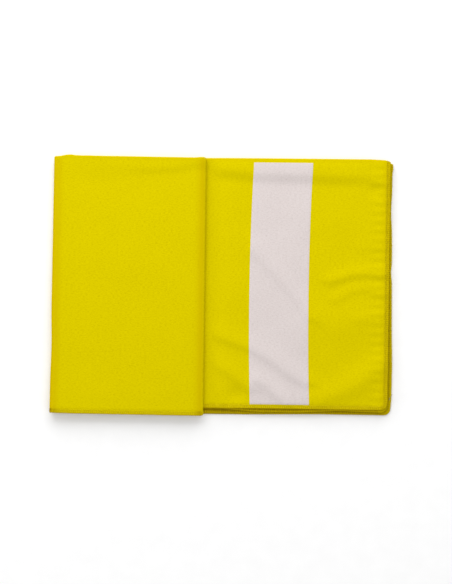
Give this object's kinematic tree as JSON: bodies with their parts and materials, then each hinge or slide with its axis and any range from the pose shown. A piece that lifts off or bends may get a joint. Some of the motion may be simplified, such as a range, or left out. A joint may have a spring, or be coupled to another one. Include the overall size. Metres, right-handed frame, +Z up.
{
  "type": "folded hand towel",
  "caption": "Yellow microfibre hand towel with a white bar and overlocked edges, folded flat with its folded end turned over as a flap that opens.",
  "frame": {"origin": "centre of the folded towel's outline, at its underside", "axes": "+X along the towel to its hemmed ends, away from the turned fold; +Y to the lengthwise fold; +Z up through the layers"},
  "size_m": [0.339, 0.2552, 0.011],
  "materials": {
    "yellow_cloth": "matt yellow microfibre knit with a short brushed pile",
    "white_cloth": "matt white microfibre knit with a short brushed pile, very slightly pink",
    "edge_thread": "matt yellow overlock thread, slightly deeper than the cloth",
    "pale_thread": "matt pale loose thread end"
  },
  "bodies": {
    "base": {"base_layer_1": "yellow_cloth", "base_layer_2": "yellow_cloth", "base_layer_3": "yellow_cloth", "base_layer_4": "yellow_cloth", "base_long_fold_lower": "yellow_cloth", "base_long_fold_upper": "yellow_cloth", "white_bar": "white_cloth", "base_edge_seam_1": "edge_thread", "base_edge_seam_2": "edge_thread", "base_edge_seam_3": "edge_thread", "base_edge_seam_4": "edge_thread", "turned_fold_1": "yellow_cloth", "turned_fold_2": "yellow_cloth", "turned_fold_3": "yellow_cloth", "turned_fold_4": "yellow_cloth", "thread_tail": "pale_thread"},
    "flap": {"flap_layer_1": "yellow_cloth", "flap_layer_2": "yellow_cloth", "flap_layer_3": "yellow_cloth", "flap_layer_4": "yellow_cloth", "flap_long_fold_lower": "yellow_cloth", "flap_long_fold_upper": "yellow_cloth", "cross_fold_inner": "yellow_cloth", "cross_fold_outer": "yellow_cloth", "flap_edge_seam_1": "edge_thread", "flap_edge_seam_2": "edge_thread", "flap_edge_seam_3": "edge_thread", "flap_edge_seam_4": "edge_thread"}
  },
  "joints": [
    {"name": "flap_turn", "type": "hinge", "parent": "base", "child": "flap", "pos_m": [-0.164, 0, 0.0055], "axis": [0, -1, 0], "range_deg": [0, 179.9], "deforming": ["turned_fold_1", "turned_fold_2", "turned_fold_3", "turned_fold_4"]}
  ]
}
